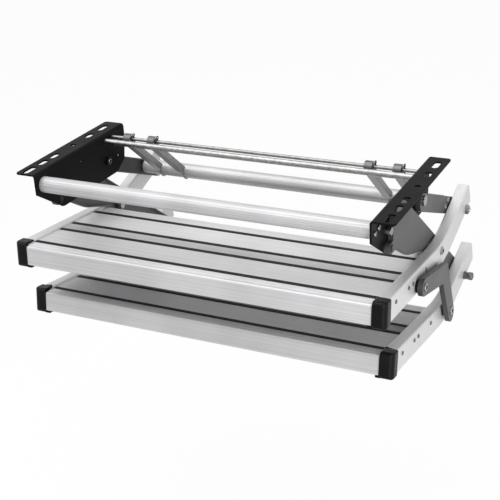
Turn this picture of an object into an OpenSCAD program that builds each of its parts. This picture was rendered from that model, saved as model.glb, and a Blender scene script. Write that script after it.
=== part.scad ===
/* [Mounting brackets] */
// Distance between the inner faces of the two bracket plates
frame_inner_w = 536; // [420:2:760]
// Thickness of the folded bracket sheet
bracket_t = 3; // [2:0.5:5]
// Width of the top flange, measured from the plate's inner face
flange_w = 36; // [30:1:60]
// Length of the bracket from front to rear
bracket_len = 256; // [250:1:320]
// Depth of the bracket plate below the flange top
bracket_drop = 76; // [76:1:100]
// Inside radius of the fold between flange and plate
bend_r = 2; // [1:0.5:4]
// Distance of the row of fixing holes from the plate's inner face
slot_row = 22; // [20:0.5:26]
// Width of the fixing slots
slot_w = 10; // [6:0.5:11]
// Distances of the slot centres from the flange's front edge
slot_at = [18, 53, 84, 184, 225];
// Overall lengths of the slots, in the same order
slot_len = [28, 22, 22, 20, 26];
// Distance of the round fixing hole from the flange's front edge
round_hole_y = 136.5; // [120:0.5:150]
// Diameter of the round fixing hole
round_hole_d = 8.5; // [6.5:0.5:11]

/* [Tubes and rods] */
// Outside diameter of the front and rear cross tubes
tube_d = 25; // [20:0.5:32]
// Wall of the cross tubes
tube_wall = 2; // [1.5:0.25:3]
// Number of fine grooves round the front tube
tube_grooves = 20; // [8:1:32]
// Centre of the front cross tube, from the flange's front edge and top
front_tube = [20, -21.8];
// Centre of the rear cross tube
rear_tube = [321, -101];
// Diameter of the upper cross rod
cross_rod_d = 10; // [8:0.5:12]
// Centre of the upper cross rod
cross_rod = [197, -12.7];
// Diameter of the rod that carries the springs
spring_rod_d = 6; // [5:0.5:8]
// Centre of the spring rod
spring_rod_at = [218, -11.5];

/* [Linkage] */
// Pivot of the front arm on the bracket
pivot_a = [56, -62];
// Pivot of the rear arm on the bracket
pivot_b = [197, -47];
// Pivot of the upper step on the front arm
pivot_e = [228, -139.5];
// Pivot of the upper step on the rear arm
pivot_d = [360, -124.5];
// Pivot of the lower step on the front arm
pivot_f = [362, -244];
// Pivot of the link on the upper step
pivot_g = [107, -141];
// Pivot of the link on the lower step
pivot_h = [244.5, -248.5];
// Thickness of the pressed arms and links over their rims
arm_t = 8; // [6:0.5:10]
// Sheet thickness of the pressed arms and links
arm_sheet = 3; // [2:0.5:4]
// Gap that each pivot washer fills
washer_gap = 1; // [0.8:0.1:2]
// Gap between the step rail and the link
link_gap = 5; // [3:0.5:8]
// Diameter of the rear bracket pivots
main_pin_d = 10; // [8:0.5:12]
// Diameter of the front bracket pivots
front_pin_d = 8; // [6:0.5:9]
// Diameter of the step pivots
step_pin_d = 8; // [6:0.5:10]
// Radial running clearance in the pivot holes
pin_play = 0.05; // [0.02:0.01:0.1]
// Extra radius of the two eyes that let the steps level themselves
float_play = 1.25; // [1.15:0.05:1.6]

/* [Steps] */
// Width of a rail
rail_w = 19; // [16:0.5:24]
// Height of a rail
rail_h = 36.3; // [30:0.1:42]
// Height that a rail stands above the treads
rail_proud = 3; // [1:0.5:6]
// Wall of a rail
rail_wall = 2; // [1.5:0.25:3]
// Length of the straight front part of a rail
rail_straight = 226; // [222:1:260]
// Centre line radius of the bend in a rail
rail_bend_r = 240; // [160:5:320]
// Angle of the bend in a rail
rail_bend = 24; // [10:1:34]
// Length of the straight tail of a rail
rail_tail = 93; // [70:1:120]
// Front face and top of the upper step
upper_front = [-28.2, -107.5];
// Backward slope of the stowed upper step
upper_tilt = 5.8; // [3:0.1:8]
// Front face and top of the lower step
lower_front = [1.4, -201.4];
// Backward slope of the stowed lower step
lower_tilt = 9; // [6:0.1:11]
// Distances of the first three grip strips from the step's front face
strip_at = [26, 92, 125.5];
// Depth of the rearmost plank, behind the last grip strip
rear_plank = 30; // [26:1:34]
// Depth of the treads from front to rear
tread_depth = 220; // [210:1:222]
// Height of the front nosing
nosing_h = 31; // [26:0.5:34]
// Radius of the nosing's top edge
nosing_r = 4; // [2:0.5:6]
// Height of the other tread planks
plank_h = 18; // [14:0.5:24]
// Wall of the tread planks
plank_wall = 2; // [1.5:0.25:3]
// Width of a grip strip
strip_w = 8.5; // [6:0.5:12]
// Depth of the groove that holds a grip strip
strip_depth = 5; // [3:0.5:6]
// Height that a grip strip stands above the treads
strip_proud = 1; // [0.5:0.1:2]
// Pitch of the fine ribs on the nosing and the narrow plank
rib_pitch = 2.6; // [2:0.1:4]
// Height of the fine ribs
rib_h = 0.5; // [0.3:0.1:1]
// Distances of the first three plank screws from the step's front face
screw_at = [44, 99, 118];
// Distance of the last plank screw from the treads' rear edge
rear_screw = 40; // [38:1:44]
// Depth of the plank screws below the treads
screw_depth = 9; // [8:0.5:10]
// Wall of the plastic corner caps
cap_wall = 1.8; // [1.2:0.1:2.5]
// Length of the corner caps along the rail
cap_len = 21; // [17:0.5:21]
// Radius of the upper and lower front edges of the caps
cap_r = 7; // [3:0.5:9]
// Radius of the outer upright corner of the caps
cap_corner_r = 10; // [6:0.5:10]
// Length of the lip that a cap holds under the nosing
cap_lip = 6; // [3:0.5:12]

/* [Springs] */
// Distances of the spring units from the brackets' inner faces
spring_in = [79, 33.5];
// Width of a spring cover
cover_w = 13; // [12:0.5:20]
// Sheet thickness of a spring cover
cover_t = 1.2; // [1:0.1:2]
// Distance from the spring rod to the cover's front face
cover_front = 10.6; // [10.6:0.1:13]
// Length of a spring cover below the spring rod
cover_len = 116; // [100:1:118]
// Radius of the cover's tongue, which hooks over the spring rod
cover_hook_r = 9.6; // [8:0.1:9.8]
// Radius of the cover's ears round the spring rod
cover_ear_r = 6.5; // [5:0.5:7]
// Mean radius of the spring coils
coil_r = 2.3; // [2.2:0.1:2.4]
// Diameter of the spring wire
coil_wire = 0.9; // [0.7:0.1:0.9]
// Number of coils in a spring
coil_turns = 18; // [10:1:22]
// Diameter of the draw bar wire
draw_d = 2.4; // [1.8:0.1:2.6]
// Diameter of the disc at the upper end of a draw bar
draw_disc_d = 5.4; // [4.6:0.1:5.4]
// Distance from the spring rod to the draw bar's disc
draw_disc_at = 42; // [30:1:60]
// Distance of the draw bar from the line between rod and tube
draw_offset = 1.9; // [1.6:0.1:1.9]

/* [Hidden] */
$fn = 48;
// Small overlap that carries a cut past a face
eps = 0.5;
// Positions across the step, outwards from the middle
plate_in = frame_inner_w / 2;
plate_out = plate_in + bracket_t;
arm_in = plate_out + washer_gap;
arm_out = arm_in + arm_t;
rail_in = arm_out + washer_gap;
rail_out = rail_in + rail_w;
link_in = rail_out + link_gap;
link_out = link_in + arm_t;
flange_out = plate_in + flange_w;
spring_x = [for (d = spring_in) plate_in - d];
// All grip strips and plank screws, as distances from the step's front face
strips = concat(strip_at, [tread_depth - rear_plank]);
screws = concat(screw_at, [tread_depth - rear_screw]);
// Centre line of a rail below the treads
rail_mid = rail_proud - rail_h / 2;
// Radii of the pivots
main_r = main_pin_d / 2;
front_r = front_pin_d / 2;
step_r = step_pin_d / 2;
// Self tapping screws in the tubes and planks
screw_r = 2;
screw_head_r = 4.2;
screw_bite = 22;
port_r = 3.8;
port_hole_r = screw_r + 0.05;
port_web = 1.6;
// Places of the two screw ports in a tube, as angles round its centre
front_port_angles = [-170, 10];
rear_port_angles = [24, 204];
port_at = tube_d / 2 - tube_wall - port_r + 1;
// Centres of the two eyes with extra play, moved to the middle of the pin's travel
eye_d = pivot_d + [0.36, 0.87];
eye_h = pivot_h + [-0.35, -0.71];
// Line from the spring rod to the rear tube
spring_dir = rear_tube - spring_rod_at;
spring_angle = atan2(spring_dir[1], spring_dir[0]);
spring_span = norm(spring_dir);
// Ends of a coil, between the disc and the cover's end plate
coil_gap = 0.3;
coil_top = draw_disc_at + 1.2 + coil_gap + coil_wire / 2;
coil_bottom = cover_len - cover_t - coil_gap - coil_wire / 2;
coil_pitch = (coil_bottom - coil_top) / coil_turns;
coil_sides = 6;
coil_rings = 8;
echo(coil_gap_to_itself = coil_pitch - coil_wire);

// A unit vector at an angle
function unit(a) = [cos(a), sin(a)];
// Points on an arc
function arc(c, r, a0, a1, n) = [for (i = [0 : n]) c + r * unit(a0 + (a1 - a0) * i / n)];

// Moves the model so that its origin lies between the two round holes
module at_datum() {
    translate([0, -round_hole_y, 0]) children();
}

// A side view drawn in y and z, made solid between two places across the step
module slab(x0, x1) {
    translate([x0, 0, 0]) rotate([90, 0, 90]) linear_extrude(x1 - x0) children();
}

// A round bar across the step
module pin(at, r, x0, x1) {
    translate([x0, at[0], at[1]]) rotate([0, 90, 0]) cylinder(r = r, h = x1 - x0);
}

// A washer or spacer across the step
module ring(at, r, hole, x0, x1) {
    difference() {
        pin(at, r, x0, x1);
        pin(at, hole, x0 - eps, x1 + eps);
    }
}

// A six sided bolt head or nut across the step
module hex(at, r, x0, x1) {
    translate([x0, at[0], at[1]]) rotate([0, 90, 0]) cylinder(r = r, h = x1 - x0, $fn = 6);
}

module both_sides() {
    children();
    mirror([1, 0, 0]) children();
}

// Two circles joined by their tangents
module link_bar(p1, r1, p2, r2) {
    a = atan2(p2[1] - p1[1], p2[0] - p1[0]);
    g = acos((r1 - r2) / norm(p2 - p1));
    polygon([
        p1 + r1 * unit(a + g), p2 + r2 * unit(a + g),
        p2 + r2 * unit(a - g), p1 + r1 * unit(a - g)
    ]);
    translate(p1) circle(r1);
    translate(p2) circle(r2);
}

module rounded_box(w, h, r) {
    translate([r, 0]) square([w - 2 * r, h]);
    translate([0, r]) square([w, h - 2 * r]);
    for (x = [r, w - r], y = [r, h - r]) translate([x, y]) circle(r);
}

// Brackets

module bracket_section() {
    outer_r = bend_r + bracket_t;
    translate([plate_in, -bracket_drop]) square([bracket_t, bracket_drop - outer_r]);
    translate([plate_in + outer_r, -bracket_t]) square([flange_w - outer_r, bracket_t]);
    translate([plate_in + outer_r, -outer_r]) intersection() {
        difference() {
            circle(outer_r);
            circle(bend_r);
        }
        translate([-outer_r, 0]) square(outer_r);
    }
}

// Outline of a bracket seen from the side
module bracket_side() {
    polygon([
        [0, eps], [0, -33], [60, -74.5], [66, -bracket_drop], [225, -bracket_drop],
        [249, -60], [bracket_len, -24], [bracket_len, eps]
    ]);
}

module bracket_plan() {
    corner_r = 5;
    translate([plate_in - eps, 0]) square([flange_w + eps - corner_r, bracket_len]);
    translate([plate_in - eps, corner_r]) square([flange_w + eps, bracket_len - 2 * corner_r]);
    for (y = [corner_r, bracket_len - corner_r])
        translate([flange_out - corner_r, y]) circle(corner_r);
}

module slot_cut(y, len) {
    run = (len - slot_w) / 2;
    translate([plate_in + slot_row, y, -bracket_t - eps]) {
        for (s = [-run, run])
            translate([0, s, 0]) cylinder(d = slot_w, h = bracket_t + 2 * eps);
        translate([-slot_w / 2, -run, 0]) cube([slot_w, 2 * run, bracket_t + 2 * eps]);
    }
}

module bracket() {
    color("#2c2c2e") difference() {
        intersection() {
            translate([0, bracket_len, 0]) rotate([90, 0, 0])
                linear_extrude(bracket_len) bracket_section();
            slab(plate_in - eps, flange_out + eps) bracket_side();
            translate([0, 0, -bracket_drop - eps])
                linear_extrude(bracket_drop + 2 * eps) bracket_plan();
        }
        for (i = [0 : len(slot_at) - 1]) slot_cut(slot_at[i], slot_len[i]);
        translate([plate_in + slot_row, round_hole_y, -bracket_t - eps])
            cylinder(d = round_hole_d, h = bracket_t + 2 * eps);
        pin(pivot_a, front_r + pin_play, plate_in - eps, plate_out + eps);
        pin(pivot_b, main_r + pin_play, plate_in - eps, plate_out + eps);
        pin(cross_rod, cross_rod_d / 2 + pin_play, plate_in - eps, plate_out + eps);
        pin(spring_rod_at, spring_rod_d / 2 + pin_play, plate_in - eps, plate_out + eps);
        pin(stop_at, stop_spigot_r + pin_play, plate_in - eps, plate_out + eps);
        for (a = front_port_angles)
            pin(front_tube + port_at * unit(a), screw_r + pin_play, plate_in - eps, plate_out + eps);
        pin([125, -23], 2, plate_in - eps, plate_out + eps);
        pin([232, -49], 2.5, plate_in - eps, plate_out + eps);
    }
}

// Tubes and rods

module tube_section(port_angles) {
    difference() {
        circle(d = tube_d);
        difference() {
            circle(d = tube_d - 2 * tube_wall);
            for (a = port_angles) translate(port_at * unit(a)) circle(port_r);
        }
        for (a = port_angles) translate(port_at * unit(a)) circle(port_hole_r);
        children();
    }
}

module front_cross_tube() {
    groove_r = 0.7;
    color("#cfd0d1") slab(-plate_in, plate_in) translate(front_tube) tube_section(front_port_angles) {
        for (i = [0 : tube_grooves - 1])
            translate((tube_d / 2 + 0.25) * unit(360 * (i + 0.5) / tube_grooves)) circle(groove_r);
    }
}

module rear_cross_tube() {
    color("#cfd0d1") slab(-arm_in, arm_in) translate(rear_tube) tube_section(rear_port_angles);
}

module tube_screws(tube, port_angles, face, head_h) {
    color("#b9babb") both_sides() for (a = port_angles) {
        at = tube + port_at * unit(a);
        pin(at, screw_r, face - screw_bite, face + eps);
        pin(at, screw_head_r, face, face + head_h);
    }
}

module upper_cross_rod() {
    color("#c4c5c6") pin(cross_rod, cross_rod_d / 2, -plate_out, plate_out);
}

module spring_rod() {
    color("#8d8e90") pin(spring_rod_at, spring_rod_d / 2, -plate_out, plate_out);
}

// Stop bush that the front arm's edge rests on when the step is stowed
stop_at = [56.7, -37];
stop_r = 5.5;
stop_spigot_r = 3;
stop_len = 9;

module stop_bushes() {
    color("#c9cacb") both_sides() {
        pin(stop_at, stop_r, plate_out, plate_out + stop_len);
        pin(stop_at, stop_spigot_r, plate_in, plate_out + eps);
    }
}

// Pivots on the brackets

pin_head_r = 8;
rivet_head_r = 6;
rivet_head_h = 1.2;
nut_r = 7.2;
nut_h = 4;
washer_r = 10;
washer_play = 0.05;

module front_pivot_pins() {
    color("#b9babb") both_sides() {
        pin(pivot_a, rivet_head_r, plate_in - rivet_head_h, plate_in);
        pin(pivot_a, front_r, plate_in - eps, arm_out + washer_play + eps);
        pin(pivot_a, rivet_head_r, arm_out + washer_play, arm_out + washer_play + rivet_head_h);
    }
}

module rear_pivot_bolts() {
    color("#b9babb") both_sides() {
        hex(pivot_b, nut_r, plate_in - nut_h, plate_in);
        pin(pivot_b, main_r - 1.5, plate_in - nut_h - 2, plate_in - nut_h + eps);
        pin(pivot_b, main_r, plate_in - eps, arm_out + washer_play + eps);
        pin(pivot_b, pin_head_r, arm_out + washer_play, arm_out + washer_play + 3.5);
    }
}

module pivot_washers() {
    color("#d8d8d6") both_sides() {
        ring(pivot_a, front_eye_r - 0.5, front_r + pin_play, plate_out, arm_in - washer_play);
        ring(pivot_b, washer_r, main_r + pin_play, plate_out, arm_in - washer_play);
    }
}

// Pressed arms: a web with a rim round its edge and a solid boss at each pivot

// Takes the outer shape and the shape inside the rim as its children
module pressed(x0, x1, bosses) {
    web = x1 - arm_sheet;
    difference() {
        union() {
            difference() {
                slab(x0, x1) children(0);
                slab(x0 - eps, web) children(1);
            }
            for (b = bosses) pin(b[0], b[1], x0, web + eps);
        }
        for (b = bosses) if (b[2] > 0) pin(b[0], b[2], x0 - eps, x1 + eps);
    }
}

module bars(list, inset) {
    for (s = list) link_bar(s[0], s[1] - inset, s[2], s[3] - inset);
}

// Direction from one point to another
function heading(p, q) = (q - p) / norm(q - p);
function left_of(d) = [-d[1], d[0]];
function wrap(list, i) = list[(i + len(list)) % len(list)];

// Corner of an outline moved inwards; the outline runs with its inside on the left
function inset_corner(p0, p, p1, t) =
    let (n0 = left_of(heading(p0, p)), n1 = left_of(heading(p, p1)))
    p + t * (n0 + n1) / (1 + n0 * n1);

// Rounded corner as points on its arc
function round_corner(p0, p, p1, r, turn) =
    let (
        back = heading(p, p0), ahead = heading(p, p1),
        half = acos(back * ahead) / 2,
        centre = p + heading([0, 0], back + ahead) * r / sin(half),
        from = p + back * r / tan(half) - centre,
        sweep = (180 - 2 * half) * turn,
        n = max(2, ceil(abs(sweep) / 8))
    ) arc(centre, r, atan2(from[1], from[0]), atan2(from[1], from[0]) + sweep, n);

// Closed outline with rounded corners, each given as a point and a radius, moved inwards
module outline(corners, inset) {
    n = len(corners);
    pts = [for (i = [0 : n - 1]) inset_corner(
        wrap(corners, i - 1)[0], corners[i][0], wrap(corners, i + 1)[0], inset)];
    polygon([for (i = [0 : n - 1]) let (
        p0 = wrap(pts, i - 1), p = pts[i], p1 = wrap(pts, i + 1),
        turn = sign(left_of(heading(p0, p)) * heading(p, p1))
    ) each round_corner(p0, p, p1, corners[i][1] - turn * inset, turn)]);
}

// Outline of the front arm: an eye at the bracket, a broad shoulder and a straight upper edge
front_eye_r = 8.5;
front_corners = [
    [pivot_a + [-front_eye_r, -front_eye_r], front_eye_r - 0.5],
    [pivot_a + [20, -front_eye_r - 1], 20],
    [pivot_a + [72, -43], 30],
    [pivot_e + [-34, 11], 20],
    [pivot_f + [2.6, -38.7], 26],
    [pivot_f + [38.6, 3.9], 26],
    [pivot_a + [51, 53.5], 32],
    [pivot_a + [6.5, 53.5], 32],
    [pivot_a + [6.5, front_eye_r], 4],
    [pivot_a + [-front_eye_r, front_eye_r], front_eye_r - 0.5]
];

module front_arm() {
    boss_r = step_r + 5;
    color("#4a4b4d") pressed(arm_in, arm_out, [
        [pivot_a, front_eye_r - 1, front_r + pin_play],
        [pivot_e, boss_r, step_r + pin_play],
        [pivot_f, boss_r, step_r + pin_play]
    ]) {
        outline(front_corners, 0);
        outline(front_corners, arm_sheet);
    }
}

module front_arm_washers() {
    color("#d8d8d6") both_sides() for (p = [pivot_e, pivot_f])
        ring(p, washer_r - 1, step_r + pin_play, arm_out, rail_in - washer_play);
}

// Centre line of the rear arm runs a little off its pivots
rear_bars = [[pivot_b + [-1, -3], 14, pivot_d + [2, 3], 14]];

module rear_arm() {
    tube_boss_r = tube_d / 2 - 1.5;
    color("#4a4b4d") difference() {
        pressed(arm_in, arm_out, [
            [pivot_b, main_r + 5, main_r + pin_play],
            [eye_d, main_r + 5, step_r + float_play],
            [rear_tube, tube_boss_r, 0]
        ]) {
            bars(rear_bars, 0);
            bars(rear_bars, arm_sheet);
        }
        for (a = rear_port_angles)
            pin(rear_tube + port_at * unit(a), screw_r + pin_play, arm_in - eps, arm_out + eps);
    }
}

module rear_arm_washers() {
    color("#d8d8d6") both_sides()
        ring(eye_d, washer_r - 1, step_r + float_play, arm_out, rail_in - washer_play);
}

// Link between the two steps, on the outside of the rails
link_corner = [207.5, -165.5];
link_bars = [
    [pivot_g + [-1, 0], 13.5, link_corner, 15.5],
    [link_corner, 15.5, pivot_h + [2, -6], 13.5]
];

module link() {
    color("#5c5d5f") pressed(link_in, link_out, [
        [pivot_g, 9, step_r + pin_play],
        [eye_h, 9, step_r + float_play]
    ]) {
        bars(link_bars, 0);
        bars(link_bars, arm_sheet);
    }
}

module link_spacers() {
    color("#c9cacb") both_sides() {
        ring(pivot_g, 10, step_r + pin_play, rail_out + washer_play, link_in);
        ring(eye_h, 9, step_r + float_play, rail_out + washer_play, link_in);
    }
}

// Steps, drawn with their front face at y = 0 and the top of the treads at z = 0

module on_upper() {
    translate([0, upper_front[0], upper_front[1]]) rotate([-upper_tilt, 0, 0]) children();
}

module on_lower() {
    translate([0, lower_front[0], lower_front[1]]) rotate([-lower_tilt, 0, 0]) children();
}

// A bar that follows the line of a rail: straight, bent up, straight
module rail_bar(x0, w, h, corner, start, extra) {
    bend_at = [rail_straight, rail_mid + rail_bend_r];
    translate([x0, rail_straight, rail_mid - h / 2]) rotate([90, 0, 0])
        linear_extrude(rail_straight - start) rounded_box(w, h, corner);
    translate([x0, bend_at[0], bend_at[1]]) rotate([90, 0, 90]) rotate([0, 0, -90])
        rotate_extrude(angle = rail_bend, $fn = 96)
            translate([rail_bend_r - h / 2, 0]) rounded_box(h, w, corner);
    translate([x0, bend_at[0], bend_at[1]]) rotate([rail_bend, 0, 0])
        translate([tail_ease, rail_tail + extra, -rail_bend_r - h / 2 + tail_ease])
            rotate([90, 0, 0]) linear_extrude(rail_tail + extra + bend_lap)
                rounded_box(w - 2 * tail_ease, h - 2 * tail_ease, corner);
}

rail_start = 6;
rail_corner = 3;
// Lap that joins the tail to the bend, and how much its faces lie inside the bend's
bend_lap = 0.5;
tail_ease = 0.02;

module rail() {
    difference() {
        rail_bar(rail_in, rail_w, rail_h, rail_corner, rail_start, 0);
        rail_bar(rail_in + rail_wall, rail_w - 2 * rail_wall, rail_h - 2 * rail_wall, 0.8,
            rail_start - eps, eps);
        for (y = screws) pin([y, -screw_depth], port_hole_r, rail_in - eps, rail_out + eps);
    }
}

module upper_rail() {
    color("#c8c9ca") difference() {
        on_upper() rail();
        for (p = [pivot_e, pivot_d, pivot_g])
            pin(p, step_r + pin_play, rail_in - eps, rail_out + eps);
    }
}

module lower_rail() {
    color("#c8c9ca") difference() {
        on_lower() rail();
        for (p = [pivot_f, pivot_h]) pin(p, step_r + pin_play, rail_in - eps, rail_out + eps);
    }
}

// Top line of a plank between two strips, with fine ribs where it has them
function ribs(y0, y1) =
    let (n = floor((y1 - y0 - 1) / rib_pitch), first = (y0 + y1 - n * rib_pitch) / 2)
    [for (i = [0 : n - 1]) each [
        [first + i * rib_pitch, 0], [first + (i + 0.25) * rib_pitch, rib_h],
        [first + (i + 0.55) * rib_pitch, rib_h], [first + (i + 0.8) * rib_pitch, 0]
    ]];

// Section of a flat plank whose edges lie under the strips
module plank_section(y0, y1, front_strip, rear_strip, ribbed) {
    f = front_strip ? strip_w / 2 : 0;
    r = rear_strip ? strip_w / 2 : 0;
    t = plank_wall;
    difference() {
        polygon(concat(
            [[y0, -plank_h], [y0, -strip_depth], [y0 + f, -strip_depth], [y0 + f, 0]],
            ribbed ? ribs(y0 + f, y1 - r) : [],
            [[y1 - r, 0], [y1 - r, -strip_depth], [y1, -strip_depth], [y1, -plank_h]]
        ));
        difference() {
            polygon([
                [y0 + t, -plank_h + t], [y0 + t, -strip_depth - t], [y0 + f + t, -strip_depth - t],
                [y0 + f + t, -t], [y1 - r - t, -t], [y1 - r - t, -strip_depth - t],
                [y1 - t, -strip_depth - t], [y1 - t, -plank_h + t]
            ]);
            for (y = screws) if (y > y0 + port_r && y < y1 - port_r) {
                translate([y, -screw_depth]) circle(port_r);
                translate([y - port_web / 2, -screw_depth]) square([port_web, screw_depth]);
            }
        }
        for (y = screws) if (y > y0 + port_r && y < y1 - port_r)
            translate([y, -screw_depth]) circle(port_hole_r);
    }
}

module plank(i) {
    y0 = strips[i];
    last = i == len(strips) - 1;
    y1 = last ? tread_depth : strips[i + 1];
    color("#d4d5d6") slab(-rail_in, rail_in) plank_section(y0, y1, true, !last, i == 1);
}

// Hollow front plank with a rounded top edge
module nosing() {
    y1 = strips[0];
    t = plank_wall;
    half = rail_in - cap_fit - 0.3;
    top = y1 - strip_w / 2;
    color("#d4d5d6") slab(-half, half) difference() {
        polygon(concat(
            [[0, -nosing_h + 1], [0, -nosing_r]],
            arc([nosing_r, -nosing_r], nosing_r, 170, 90, 6),
            ribs(nosing_r + 1, top),
            [[top, 0], [top, -strip_depth], [y1, -strip_depth], [y1, -plank_h],
             [y1 - 8, -nosing_h], [1, -nosing_h]]
        ));
        polygon([
            [t, -nosing_h + t], [t, -nosing_r], [nosing_r, -t], [top - t, -t],
            [top - t, -strip_depth - t], [y1 - t, -strip_depth - t], [y1 - t, -plank_h],
            [y1 - 8 - t / 2, -nosing_h + t]
        ]);
    }
}

module grip_strips() {
    h = strip_w / 2 - 0.1;
    low = -strip_depth;
    color("#1c1c1d") for (y = strips) slab(-rail_in + 0.2, rail_in - 0.2) polygon([
        [y - h, low], [y - h, strip_proud - 0.8], [y - h + 0.8, strip_proud],
        [y - 1.6, strip_proud], [y - 1.1, strip_proud - 0.6], [y - 0.6, strip_proud],
        [y + 0.6, strip_proud], [y + 1.1, strip_proud - 0.6], [y + 1.6, strip_proud],
        [y + h - 0.8, strip_proud], [y + h, strip_proud - 0.8], [y + h, low]
    ]);
}

// Plastic cap over the front end of a rail, with a plug inside the rail and a lip under the nosing
cap_fit = 0.2;
cap_proud = 2.5;
cap_plug = 14;
cap_plug_fit = 0.4;
cap_lip_gap = 0.3;

module cap() {
    wall = cap_wall + cap_fit;
    x0 = rail_in - cap_fit;
    w = rail_w + cap_fit + wall;
    h = rail_h + 2 * wall;
    low = rail_proud - rail_h - wall;
    depth = cap_len + cap_proud;
    back = rail_start - cap_fit;
    plug_in = rail_wall + cap_plug_fit;
    color("#202021") {
        difference() {
            union() {
                intersection() {
                    slab(x0, x0 + w) translate([-cap_proud, low]) {
                        translate([cap_r, 0]) square([depth - cap_r, h]);
                        translate([0, cap_r]) square([cap_r, h - 2 * cap_r]);
                        for (z = [cap_r, h - cap_r]) translate([cap_r, z]) circle(cap_r);
                    }
                    translate([x0, -cap_proud, low - eps]) linear_extrude(h + 2 * eps) {
                        square([w - cap_corner_r, depth]);
                        translate([0, cap_corner_r]) square([w, depth - cap_corner_r]);
                        translate([w - cap_corner_r, cap_corner_r]) circle(cap_corner_r);
                    }
                }
                translate([rail_in - cap_lip, 2, low])
                    cube([cap_lip + 2, 14, -nosing_h - cap_lip_gap - low]);
            }
            translate([x0, back, low + cap_wall])
                cube([rail_w + 2 * cap_fit, cap_len, rail_h + 2 * cap_fit]);
        }
        translate([rail_in + plug_in, back - 1, rail_proud - rail_h + plug_in])
            cube([rail_w - 2 * plug_in, cap_plug + 1, rail_h - 2 * plug_in]);
    }
}

module plank_screws() {
    color("#b9babb") both_sides() for (y = screws) {
        pin([y, -screw_depth], screw_r, rail_in - screw_bite / 2, rail_out + eps);
        pin([y, -screw_depth], screw_head_r - 1, rail_out, rail_out + 1.2);
    }
}

// Bolts in the steps

module upper_front_pivot_bolts() {
    color("#b9babb") both_sides() {
        hex(pivot_e, 7, arm_in - 4 - washer_play, arm_in - washer_play);
        pin(pivot_e, step_r, arm_in - 4, rail_out + eps);
        pin(pivot_e, 7, rail_out, rail_out + 3);
    }
}

module upper_rear_pivot_bolts() {
    color("#b9babb") both_sides() {
        pin(eye_d, washer_r + 1, arm_in - 1.5 - washer_play, arm_in - washer_play);
        pin(pivot_d, 7, arm_in - 4.5, arm_in - 1.5 + washer_play);
        pin(pivot_d, step_r, arm_in - 4, rail_out + 7);
        hex(pivot_d, 7.5, rail_out, rail_out + 5.5);
    }
}

module upper_link_bolts() {
    color("#b9babb") both_sides() {
        pin(pivot_g, step_r, rail_in, link_out + washer_play + eps);
        pin(pivot_g, 6, link_out + washer_play, link_out + washer_play + 1.8);
    }
}

module lower_pivot_studs() {
    stud_r = 6.5;
    color("#b9babb") both_sides() {
        hex(pivot_f, 7, arm_in - 4 - washer_play, arm_in - washer_play);
        pin(pivot_f, step_r, arm_in - 4, rail_out + eps);
        pin(pivot_f, stud_r, rail_out, rail_out + 5);
        pin(pivot_f, stud_r - 0.8, rail_out + 5 - eps, rail_out + 7);
        pin(pivot_f, stud_r, rail_out + 7 - eps, rail_out + 15);
    }
}

module lower_link_bolts() {
    color("#b9babb") both_sides() {
        pin(pivot_h, step_r, rail_in, link_out + washer_play + eps);
        pin(pivot_h, 7, link_out + washer_play, link_out + washer_play + 1.8);
    }
}

// Spring units, drawn with the spring rod at the origin and the tube along y

module on_spring(x) {
    translate([x, spring_rod_at[0], spring_rod_at[1]]) rotate([spring_angle, 0, 0]) children();
}

// How far a draw bar comes nearer to the cover's front in the middle of the swing
draw_sway = 4.6;

// A sheet channel whose front face runs up and hooks over the spring rod as a tongue
module cover(x) {
    slot = draw_d / 2 + 0.4;
    hook_at = [0, cover_hook_r - cover_front];
    far = 2 * cover_front;
    color("#8f9092") on_spring(x) difference() {
        slab(-cover_w / 2, cover_w / 2) {
            translate(hook_at) circle(cover_hook_r);
            translate([0, -cover_front]) square([cover_len, cover_front]);
        }
        slab(-cover_w / 2 + cover_t, cover_w / 2 - cover_t) {
            translate(hook_at) circle(cover_hook_r - cover_t);
            translate([0, -cover_front + cover_t]) square([cover_len - cover_t, far]);
            translate([-1, 0]) square([cover_len, far]);
        }
        slab(-cover_w, cover_w) difference() {
            union() {
                intersection() {
                    translate(hook_at) circle(cover_hook_r - cover_t);
                    translate([-far, -far]) square([far, 2 * far]);
                }
                translate([-1, 0]) square([far, far]);
            }
            circle(cover_ear_r);
        }
        pin([0, 0], spring_rod_d / 2 + pin_play, -cover_w, cover_w);
        translate([-slot, cover_len - 5, -draw_offset - draw_sway])
            cube([2 * slot, 10, cover_front]);
        translate([0, cover_len - 5, -draw_offset - draw_sway])
            rotate([-90, 0, 0]) cylinder(r = slot, h = 10);
    }
}

module draw_bars() {
    hook_r = tube_d / 2 + 0.2 + draw_d / 2;
    hook_start = asin(draw_offset / hook_r);
    reach = spring_span - hook_r * cos(hook_start);
    color("#8d8e90") both_sides() for (x = spring_x) on_spring(x) {
        translate([0, draw_disc_at, -draw_offset]) rotate([-90, 0, 0]) {
            cylinder(d = draw_disc_d, h = 1.2);
            cylinder(d = draw_d, h = reach - draw_disc_at);
        }
        translate([0, spring_span, 0]) rotate([90, 0, 90]) rotate([0, 0, 180 + hook_start])
            rotate_extrude(angle = 200) translate([hook_r, 0]) circle(d = draw_d);
    }
}

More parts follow.
